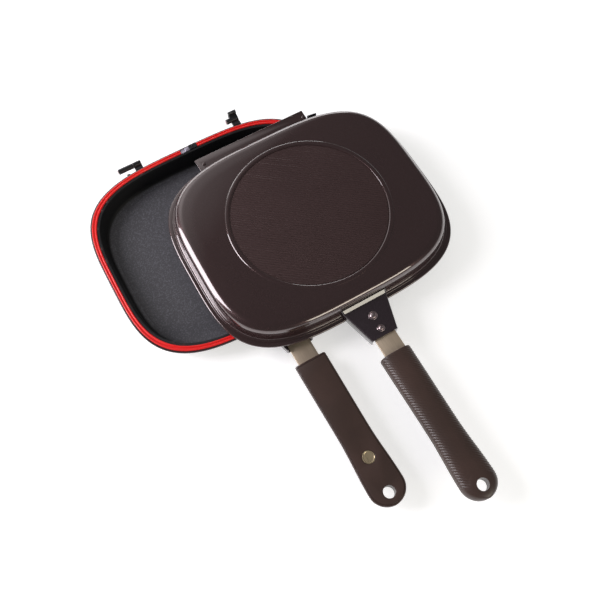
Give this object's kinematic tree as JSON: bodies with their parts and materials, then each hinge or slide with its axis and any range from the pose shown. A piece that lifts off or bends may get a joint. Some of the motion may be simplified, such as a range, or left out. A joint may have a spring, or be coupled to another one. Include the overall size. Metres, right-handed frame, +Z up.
{
  "type": "double sided flip pan",
  "caption": "Hinged frying pan of two matching shallow halves with long handles, a silicone rim seal, a steam vent and handle magnets; the upper half lifts off its hinge.",
  "frame": {"origin": "centre of the lower half's flat base, on the surface it stands on", "axes": "+Z up through the pan, +Y from the handles to the hinge, +X to the right seen from the handle side"},
  "size_m": [0.3929, 0.5497, 0.0555],
  "materials": {
    "pan_coat": "dark brown metallic non-stick coating, glossy outside and matt inside",
    "bracket_coat": "dark satin coating",
    "hinge_black": "black satin coating",
    "seal_rubber": "red silicone",
    "vent_metal": "bare satin metal",
    "vent_black": "black silicone",
    "bright_steel": "bright turned steel",
    "neck_steel": "brushed steel, warm tone",
    "magnet_steel": "plated magnet with brushed face",
    "grip_plastic": "dark brown moulded phenolic plastic"
  },
  "bodies": {
    "lower_half": {"lower_pan_shell": "pan_coat", "lower_handle_bracket": "bracket_coat", "lower_front_rivet": "bright_steel", "lower_rear_rivet": "bright_steel", "lower_handle_tang": "neck_steel", "lower_grip_shell": "grip_plastic", "lower_grip_face": "grip_plastic", "lower_grip_magnet": "magnet_steel", "lower_grip_screw_1": "bright_steel", "lower_grip_screw_2": "bright_steel", "lower_seal": "seal_rubber", "steam_vent_insert": "vent_metal", "steam_vent_block": "vent_black", "left_hinge_hook": "hinge_black", "right_hinge_hook": "hinge_black", "left_hinge_pin": "bright_steel", "right_hinge_pin": "bright_steel"},
    "hinge_sleeves": {"left_hinge_sleeve": "hinge_black", "right_hinge_sleeve": "hinge_black"},
    "upper_half": {"upper_pan_shell": "pan_coat", "upper_handle_bracket": "bracket_coat", "upper_front_rivet": "bright_steel", "upper_rear_rivet": "bright_steel", "upper_handle_tang": "neck_steel", "upper_grip_shell": "grip_plastic", "upper_grip_face": "grip_plastic", "upper_grip_magnet": "magnet_steel", "upper_grip_screw_1": "bright_steel", "upper_grip_screw_2": "bright_steel", "hinge_cover": "pan_coat", "left_hinge_saddle": "hinge_black", "left_cover_rivet": "pan_coat", "right_hinge_saddle": "hinge_black", "right_cover_rivet": "pan_coat", "hinge_stop_tab": "hinge_black"}
  },
  "joints": [
    {"name": "flip_hinge", "type": "hinge", "parent": "lower_half", "child": "hinge_sleeves", "pos_m": [0, 0.135, 0.0278], "axis": [-1, 0, 0], "range_deg": [0, 180]},
    {"name": "detach_slide", "type": "slide", "parent": "hinge_sleeves", "child": "upper_half", "axis": [-0.8955, 0.4451, 0], "range_m": [0, 0.09324]}
  ]
}
